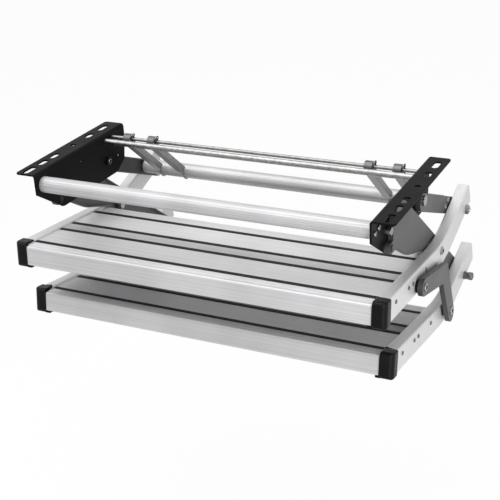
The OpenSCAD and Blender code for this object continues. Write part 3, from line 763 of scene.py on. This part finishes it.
class StepFinishes(bpy.types.PropertyGroup):
    """Colours of the finishes."""

    aluminium: colour_setting(
        "Aluminium", "Colour of the anodised treads", (0.66, 0.66, 0.67))
    rails: colour_setting(
        "Rails", "Colour of the anodised rails", (0.68, 0.68, 0.69))
    bracket: colour_setting(
        "Brackets", "Colour of the brackets' coat", (0.006, 0.006, 0.0065))
    arms: colour_setting(
        "Arms", "Colour of the coat on the arms and links", (0.052, 0.052, 0.054))
    zinc: colour_setting(
        "Zinc", "Colour of the bright plated bolts, washers and rods", (0.34, 0.34, 0.335))
    dull_zinc: colour_setting(
        "Dull zinc", "Colour of the spring covers and studs", (0.20, 0.20, 0.205))
    # Black zinc is also the painted shade in the sockets and hollow ends of the bolts and rivets
    black_zinc: colour_setting(
        "Black zinc", "Colour of the blackened nuts and pins", (0.02, 0.02, 0.0205))
    rubber: colour_setting(
        "Rubber", "Colour of the grip strips", (0.006, 0.006, 0.006))
    plastic: colour_setting(
        "Plastic", "Colour of the corner caps and spacers", (0.005, 0.005, 0.0055))


class StepDetails(bpy.types.PropertyGroup):
    """Sizes of the details that are added to the frame."""

    dome: size_setting("Screw dome", "Height of the head of a plank screw", 1.6, 0.5, 4)
    recess: size_setting("Recess width", "Width of the cross recess in a screw", 1.0, 0.3, 2)
    edge: size_setting("Edge", "Radius of the rounded edges of bolt heads", 0.6, 0.1, 1.2)
    pitch: size_setting("Thread pitch", "Pitch of the threads on the bolts", 1.25, 0.5, 2)
    wire: size_setting("Spring wire", "Thickness of the spring wire", 0.9, 0.5, 1.5)
    turns: IntProperty(
        name="Spring turns", description="Turns of each spring", default=18, min=6, max=30)
    wire_sides: IntProperty(
        name="Wire sides", description="Sides of the spring wire", default=10, min=6, max=24)


class StepStage(bpy.types.PropertyGroup):
    """The floor, lamps and camera."""

    floor_drop: FloatProperty(
        name="Floor drop", description="Distance from the lowest point down to the floor",
        unit="LENGTH", default=0.4, min=0.0, max=1.0)
    floor_shadow: FloatProperty(
        name="Floor shadow", description="How much of the shadow the floor shows",
        default=0.05, min=0.0, max=1.0)
    sky: FloatProperty(
        name="Surrounding light", description="Strength of the light from all round",
        default=0.37, min=0.0, max=2.0)
    key_power: FloatProperty(
        name="Key lamp", description="Power of the large lamp above",
        unit="POWER", default=55.0, min=0.0, max=400.0)
    fill_power: FloatProperty(
        name="Fill lamp", description="Power of the soft lamp at the front",
        unit="POWER", default=38.0, min=0.0, max=400.0)
    lens: FloatProperty(
        name="Lens", description="Focal length of the camera", default=79.363, min=20, max=200)


# Operators

class STEP_OT_brackets(bpy.types.Operator):
    """Coats the two folded brackets"""

    bl_idname = "step.brackets"
    bl_label = "Brackets"

    def execute(self, context):
        look = context.scene.step_finishes
        coat = powder_coat("bracket_coat", look.bracket, 0.42, 0.04)
        for side in ("left", "right"):
            rounded_copy(f"{side}_bracket", "root", 0.9 * MM, coat)
        return {"FINISHED"}


class STEP_OT_arms(bpy.types.Operator):
    """Coats the arms and links"""

    bl_idname = "step.arms"
    bl_label = "Arms and links"

    def execute(self, context):
        look = context.scene.step_finishes
        coat = powder_coat("arm_coat", look.arms, 0.38, 0.35)
        for side in ("left", "right"):
            rounded_copy(f"{side}_front_arm", "front_arms", 0.7 * MM, coat, sharp=60)
            rounded_copy(f"{side}_rear_arm", "rear_arms", 0.5 * MM, coat, sharp=60)
            rounded_copy(f"{side}_link", "step_links", 0.7 * MM, coat)
        return {"FINISHED"}


class STEP_OT_treads(bpy.types.Operator):
    """Finishes the tread planks, rails and tubes as anodised extrusions"""

    bl_idname = "step.treads"
    bl_label = "Treads and rails"

    def execute(self, context):
        look = context.scene.step_finishes
        metal = look.aluminium

        # The planks, nosings, ribbed planks and tubes are one aluminium in lighter and darker
        # copies with light and shade painted in: the flat planks are lightened as painted light on
        # their tops, the nosings are darkened as painted shade on their fronts, and the ribbed
        # planks and tubes are darkened as painted shade against their highlights
        # Each with its colour, the axis of its die lines, metallic, roughness, streak and gloss
        ribbed = anodised("anodised_ribs_painted_shade", shade(metal, 0.7), "X", 0.12, 0.46, 0.3, 0.25)
        across = anodised("anodised_planks_painted_light", shade(metal, 1.1), "X", 0.1, 0.46, 0.22, 0.25)
        front = anodised("anodised_nosings_painted_shade", shade(metal, 0.92), "X", 0.2, 0.36, 0.32)
        along = anodised("anodised_rails", look.rails, "Y", 0.3, 0.4)
        tubes = anodised("anodised_tubes_painted_shade", shade(metal, 0.88), "X", 0.3, 0.4, 0.34, 0.35)

        for step in ("upper", "lower"):
            for plank, radius, finish in (
                    ("nosing", 0.25, front), ("front_plank", 0.5, across),
                    ("narrow_plank", 0.12, ribbed), ("middle_plank", 0.5, across),
                    ("rear_plank", 0.5, across)):
                rounded_copy(f"{step}_{plank}", f"{step}_step", radius * MM, finish)
            dress([f"{step}_{side}_rail" for side in ("left", "right")], along)
        dress(["front_cross_tube", "rear_cross_tube"], tubes)
        return {"FINISHED"}


class STEP_OT_strips(bpy.types.Operator):
    """Finishes the rubber grip strips, the plastic caps and the spacers"""

    bl_idname = "step.strips"
    bl_label = "Grip strips, caps and spacers"

    def execute(self, context):
        look = context.scene.step_finishes
        dress(["upper_grip_strips", "lower_grip_strips"], black_rubber("strip_rubber", look.rubber))
        plastic = moulded_plastic("cap_plastic", look.plastic)
        for step in ("upper", "lower"):
            for side in ("left", "right"):
                rounded_copy(f"{step}_{side}_cap", f"{step}_step", 4 * MM, plastic,
                             sharp=50, steps=4, beyond=CAP_IN)
        dress(["link_spacers"], moulded_plastic("spacer_plastic", shade(look.plastic, 1.3)))
        return {"FINISHED"}


class STEP_OT_rods(bpy.types.Operator):
    """Plates the rods, washers, spring covers and draw bars"""

    bl_idname = "step.rods"
    bl_label = "Rods, washers and covers"

    def execute(self, context):
        look = context.scene.step_finishes
        dress(["upper_cross_rod", "pivot_washers", "front_arm_washers", "rear_arm_washers"],
              plated("zinc_washers", look.zinc, 0.3))
        dress(["spring_rod", "draw_bars"], plated("zinc_rods", shade(look.zinc, 0.85), 0.36))
        # The covers darken above their eyes' height as painted shade
        sheet = plated("zinc_covers", shade(look.dull_zinc, 1.15), 0.36, metallic=0.9,
                       painted_shade_above=-21 * MM)
        for place in SPRINGS:
            rounded_copy(f"{place}_cover", "spring_covers", 0.4 * MM, sheet)
        return {"FINISHED"}


class STEP_OT_screws(bpy.types.Operator):
    """Sets cross recess screws in the tubes and along the treads"""

    bl_idname = "step.screws"
    bl_label = "Screws"

    def execute(self, context):
        look = context.scene.step_finishes
        size = context.scene.step_details
        bright = plated("zinc_screws", look.zinc, 0.3)
        dull = plated("dull_zinc_screws", shade(look.zinc, 0.75), 0.26)
        dark = plated("dark_zinc_screws", shade(look.zinc, 0.42), 0.3)

        # Radius of the shanks, then radius of the head and length for tubes and for planks
        shank = 2 * MM
        tube = (4.2 * MM, 10 * MM)
        plank = (3.2 * MM, 19 * MM)
        for name, body, node, face, (head, length), dome, finish in (
                ("tube_end_screws", "root", "front_tube_screws", PLATE_OUT, tube, 2.4 * MM, dull),
                ("arm_tube_screws", "rear_arms", "rear_tube_screws", ARM_OUT, tube, 0.8 * MM,
                 bright),
                ("upper_tread_screws", "upper_step", "upper_plank_screws", RAIL_OUT, plank,
                 size.dome, dark),
                ("lower_tread_screws", "lower_step", "lower_plank_screws", RAIL_OUT, plank,
                 size.dome, dark)):
            mesh = screw_mesh(name + "_pattern", head, dome, shank, length, size.recess)
            piece = scatter(name, body, mesh, screw_seats(node, face), math.pi / 2, finish)
            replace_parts(piece, node)
        return {"FINISHED"}


class STEP_OT_split_pins(bpy.types.Operator):
    """Bends the split pins that keep the spring covers in place on their rod"""

    bl_idname = "step.split_pins"
    bl_label = "Split pins"

    def execute(self, context):
        look = context.scene.step_finishes
        finish = plated("black_zinc_split_pins", shade(look.black_zinc, 4), 0.35)
        path = split_pin_path(SPRING_ROD_R, 2.4 * MM, 5 * MM)
        places = [(x + COVER_HALF + 3 * MM, *SPRING_ROD) for x in SPRINGS.values()]
        scatter("split_pins", "root", wire_mesh("split_pin_pattern", path, 1.7 * MM), places, 0.0,
                finish)
        return {"FINISHED"}


class STEP_OT_bracket_pins(bpy.types.Operator):
    """Turns the pins, bolts and stop bushes in the brackets"""

    bl_idname = "step.bracket_pins"
    bl_label = "Bracket pins"

    def execute(self, context):
        look = context.scene.step_finishes
        edge = context.scene.step_details.edge
        # Black zinc for the pins and the nuts, and as painted shade on the floor of the bolts'
        # hollow ends
        dark = plated("black_zinc_pins_and_painted_shade", look.black_zinc, 0.35)
        bright = plated("zinc_bolts", look.zinc, 0.28)
        face = ARM_OUT + SLACK

        # Pins with a low head at each end
        pins = Turning()
        head, low = 6 * MM, 1.2 * MM
        pins.turn(FRONT_PIVOT, [
            (PLATE_IN - low, head * 0.55), (PLATE_IN - low * 0.9, head * 0.8),
            (PLATE_IN - low * 0.4, head), (PLATE_IN, head), (PLATE_IN, PIN_R), (face, PIN_R),
            (face, head), (face + low * 0.6, head), (face + low * 0.95, head * 0.8),
            (face + low, head * 0.55)])
        pins.piece("front_arm_pins", "root", "front_pivot_pins", dark)

        # Bolts: the floor of the hollow end, darkened as painted shade, the end itself, the nut,
        # the shank and head
        bolts = Turning()
        tip = PLATE_IN - 6 * MM
        bolts.turn(REAR_PIVOT, [
            (tip + 1.4 * MM, 2.2 * MM), (tip, 2.4 * MM), (tip, 2.6 * MM)], 1)
        bolts.turn(REAR_PIVOT, [
            (tip + 1 * MM, 2.5 * MM), (tip, 2.5 * MM), (tip, 3.3 * MM), (tip + 0.3 * MM, 3.5 * MM),
            (tip + 2.2 * MM, 3.5 * MM)])
        bolts.turn(REAR_PIVOT, nut_rings(PLATE_IN - NUT_H, PLATE_IN, 7.2 * MM, True), 1)
        bolts.turn(REAR_PIVOT, [
            (PLATE_IN - 1 * MM, 5 * MM), (face, 5 * MM),
            *rounded_rings(face, face + 3.5 * MM, 8 * MM, edge)])
        bolts.piece("rear_arm_bolts", "root", "rear_pivot_bolts", bright, dark)

        # Stop bushes, with a blind hole in the end
        bushes = Turning()
        bushes.turn(STOP_BUSH, [
            (PLATE_IN, 3 * MM), (PLATE_OUT, 3 * MM),
            *rounded_rings(PLATE_OUT, PLATE_OUT + 9 * MM, 5.5 * MM, edge, 2.4 * MM, 2 * MM)])
        bushes.piece("stop_bush_pair", "root", "stop_bushes", bright)
        return {"FINISHED"}


class STEP_OT_step_bolts(bpy.types.Operator):
    """Turns the bolts, nuts, studs and rivets of the two treads"""

    bl_idname = "step.step_bolts"
    bl_label = "Step bolts"

    def execute(self, context):
        look = context.scene.step_finishes
        size = context.scene.step_details
        bright = plated("zinc_step_bolts", look.zinc, 0.28)
        dull = plated("zinc_studs", shade(look.dull_zinc, 0.7), 0.3)
        # Black zinc as painted shade in the bolts' sockets and the rivets' hollow ends
        dark = plated("painted_shade_wells", look.black_zinc, 0.5)

        # Domed bolts with a socket darkened as painted shade
        front = Turning()
        front.turn(UPPER_FRONT_PIVOT, [
            *arm_nut(),
            *socket_head(RAIL_OUT, RAIL_OUT + 3 * MM, NUT_R, 2.8 * MM, 1.6 * MM)], 0, -3)
        front.piece("upper_front_bolts", "upper_step", "upper_front_pivot_bolts", bright, dark)

        # A disc over the arm's oversize eye, and a bolt with its nut outside the rail
        rear = Turning()
        seat, disc, bevel = ARM_IN - SLACK, 11 * MM, 0.3 * MM
        rear.turn(UPPER_REAR_EYE, [
            (seat - 1.5 * MM, disc - bevel), (ARM_IN - 1.3 * MM, disc),
            (seat - 0.2 * MM, disc), (seat, disc - bevel)])
        head, nut_end = ARM_IN - 1 * MM, RAIL_OUT + 5.5 * MM
        rear.turn(UPPER_REAR_PIVOT, [
            (head - 3.5 * MM, 5.6 * MM), (head - 3.1 * MM, 6.6 * MM), (head - 2.5 * MM, NUT_R),
            (head, NUT_R), (head, PIN_R), (RAIL_OUT, PIN_R),
            *nut_rings(RAIL_OUT, nut_end, 7.5 * MM, False),
            *thread_rings(nut_end, nut_end + 1.3 * MM, PIN_R, size.pitch)])
        rear.piece("upper_rear_bolts", "upper_step", "upper_rear_pivot_bolts", bright)

        # Rivets with a hollow end, darkened as painted shade
        face = LINK_OUT + SLACK
        for step, at, radius in (
                ("upper", UPPER_LINK_PIVOT, 6 * MM), ("lower", LOWER_LINK_PIVOT, 7 * MM)):
            rivet = Turning()
            rivet.turn(at, [
                (RAIL_IN, PIN_R), (face, PIN_R),
                *rounded_rings(face, face + 1.8 * MM, radius, 0.7 * MM, 3.2 * MM, 2.5 * MM)], 0, -3)
            rivet.piece(f"{step}_link_rivets", f"{step}_step", f"{step}_link_bolts", bright, dark)

        # Studs with a groove and a centre mark
        stud = Turning()
        wide, groove, bevel, end = 6.5 * MM, 5.7 * MM, 0.7 * MM, RAIL_OUT + 15 * MM
        stud.turn(LOWER_PIVOT, [
            *arm_nut(), (RAIL_OUT, wide - bevel / 2),
            (RAIL_OUT + bevel / 2, wide), (RAIL_OUT + 5 * MM - bevel, wide),
            (RAIL_OUT + 5 * MM, groove), (RAIL_OUT + 7 * MM, groove),
            (RAIL_OUT + 7 * MM + bevel, wide), (end - 1.5 * bevel, wide),
            (end - 0.4 * bevel, wide - bevel * 0.8), (end, wide - bevel * 1.6),
            (end, 2.4 * MM), (end - 0.8 * MM, 1.8 * MM)])
        stud.piece("lower_studs", "lower_step", "lower_pivot_studs", dull)
        return {"FINISHED"}


class STEP_OT_springs(bpy.types.Operator):
    """Winds the four springs"""

    bl_idname = "step.springs"
    bl_label = "Springs"

    def execute(self, context):
        size = context.scene.step_details
        finish = plated("spring_wire", context.scene.step_finishes.dull_zinc, 0.3)
        for unit, x in SPRINGS.items():
            place, side = unit.split("_")
            name = f"{side}_{place}_coil"
            mesh = coil(name, x, size.wire, size.turns, size.wire_sides)
            mesh.materials.append(finish)
            piece = piece_from(mesh, name, "draw_bar_set")
            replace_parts(piece, f"{unit}_spring")
            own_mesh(piece)
        return {"FINISHED"}


class STEP_OT_stage(bpy.types.Operator):
    """Makes the floor, lamps and camera"""

    bl_idname = "step.stage"
    bl_label = "Stage"

    def execute(self, context):
        scene = context.scene
        look = scene.step_stage
        scene.view_settings.view_transform = "Standard"
        self.world(scene, look)
        self.floor(look)
        self.lamps(look)
        lens = bpy.data.cameras.new("view")
        lens.sensor_width = 36.0
        lens.lens = look.lens
        lens.clip_end = 20.0
        camera = link(bpy.data.objects.new("view", lens))
        camera.location = CAMERA_AT
        camera.rotation_euler = Euler([math.radians(a) for a in CAMERA_TURN], "XYZ")
        scene.camera = camera
        return {"FINISHED"}

    def seen_directly(self, tree):
        """1 for rays from the camera and for mirrored and refracted rays, else 0."""
        path = tree.nodes.new("ShaderNodeLightPath")
        total = path.outputs["Is Camera Ray"]
        for name in ("Is Glossy Ray", "Is Transmission Ray"):
            both = tree.nodes.new("ShaderNodeMath")
            both.operation = "MAXIMUM"
            tree.links.new(total, both.inputs[0])
            tree.links.new(path.outputs[name], both.inputs[1])
            total = both.outputs[0]
        return total

    def world(self, scene, look):
        """A soft light from all round, which is seen as white."""
        world = bpy.data.worlds.new("studio")
        world.use_nodes = True
        tree = world.node_tree
        tree.nodes.clear()
        out = tree.nodes.new("ShaderNodeOutputWorld")
        mix = tree.nodes.new("ShaderNodeMixShader")
        for i, strength in enumerate((look.sky, 1.0)):
            light = tree.nodes.new("ShaderNodeBackground")
            light.inputs["Color"].default_value = WHITE
            light.inputs["Strength"].default_value = strength
            tree.links.new(light.outputs[0], mix.inputs[i + 1])
        tree.links.new(self.seen_directly(tree), mix.inputs[0])
        tree.links.new(mix.outputs[0], out.inputs["Surface"])
        scene.world = world

    def floor(self, look):
        """A grey card that is seen as white, with some of the shadow on it."""
        low = cad_box[0][2] - look.floor_drop
        mesh = bpy.data.meshes.new("floor")
        mesh.from_pydata(
            [(x * FLOOR_HALF, y * FLOOR_HALF, low)
             for x, y in ((-1, -1), (1, -1), (1, 1), (-1, 1))],
            [], [(0, 1, 2, 3)])
        floor = link(bpy.data.objects.new("floor", mesh))
        paint = Paint("floor_card")
        grain = paint.noise(40.0, 2.0)
        seen = Signal(paint, self.seen_directly(paint.tree))
        paint.put("Base Color", paint.blend(
            seen, paint.blend(grain, (0.5, 0.5, 0.5), (0.54, 0.54, 0.54)), (0.97, 0.97, 0.97)))
        paint.put("Roughness", 0.9)
        glow = paint.node("ShaderNodeEmission", {}, WHITE, 1.0)
        mix = paint.node("ShaderNodeMixShader", {}, seen * (1.0 - look.floor_shadow),
                         paint.skin.outputs[0], glow)
        paint.join(paint.out.inputs["Surface"], mix)
        mesh.materials.append(paint.material)

    def lamps(self, look):
        """A large lamp above and a smaller one low at the front right."""
        for name, at, size, power in (
                ("key", KEY_AT, KEY_SIZE, look.key_power),
                ("fill", FILL_AT, FILL_SIZE, look.fill_power)):
            lamp = bpy.data.lights.new(name, "AREA")
            lamp.shape = "DISK"
            lamp.size = size
            lamp.energy = power
            obj = link(bpy.data.objects.new(name, lamp))
            obj.location = at
            obj.rotation_euler = (Vector(AIM) - Vector(at)).to_track_quat("-Z", "Y").to_euler()


class STEP_PT_panel(bpy.types.Panel):
    """Lists the settings and the pieces of the step"""

    bl_label = "Caravan step"
    bl_idname = "STEP_PT_panel"
    bl_space_type = "VIEW_3D"
    bl_region_type = "UI"
    bl_category = "Step"

    def draw(self, context):
        layout = self.layout
        for group in (context.scene.step_finishes, context.scene.step_details,
                      context.scene.step_stage):
            box = layout.box()
            for name in group.bl_rna.properties.keys():
                if name not in ("rna_type", "name"):
                    box.prop(group, name)
        for operator in OPERATORS:
            layout.operator(operator.bl_idname)


SETTINGS = (StepFinishes, StepDetails, StepStage)
OPERATORS = (
    STEP_OT_stage, STEP_OT_brackets, STEP_OT_arms, STEP_OT_treads, STEP_OT_strips, STEP_OT_rods,
    STEP_OT_screws, STEP_OT_split_pins, STEP_OT_bracket_pins, STEP_OT_step_bolts,
    STEP_OT_springs)


def register():
    """Adds the settings, the operators and the panel."""
    for cls in (*SETTINGS, *OPERATORS, STEP_PT_panel):
        bpy.utils.register_class(cls)
    bpy.types.Scene.step_finishes = PointerProperty(type=StepFinishes)
    bpy.types.Scene.step_details = PointerProperty(type=StepDetails)
    bpy.types.Scene.step_stage = PointerProperty(type=StepStage)


def unregister():
    """Takes them away again."""
    del bpy.types.Scene.step_stage
    del bpy.types.Scene.step_details
    del bpy.types.Scene.step_finishes
    for cls in reversed((*SETTINGS, *OPERATORS, STEP_PT_panel)):
        bpy.utils.unregister_class(cls)


def main():
    """Makes every piece and the stage."""
    register()
    for operator in OPERATORS:
        group, name = operator.bl_idname.split(".")
        getattr(getattr(bpy.ops, group), name)()


if __name__ == "__main__":
    main()
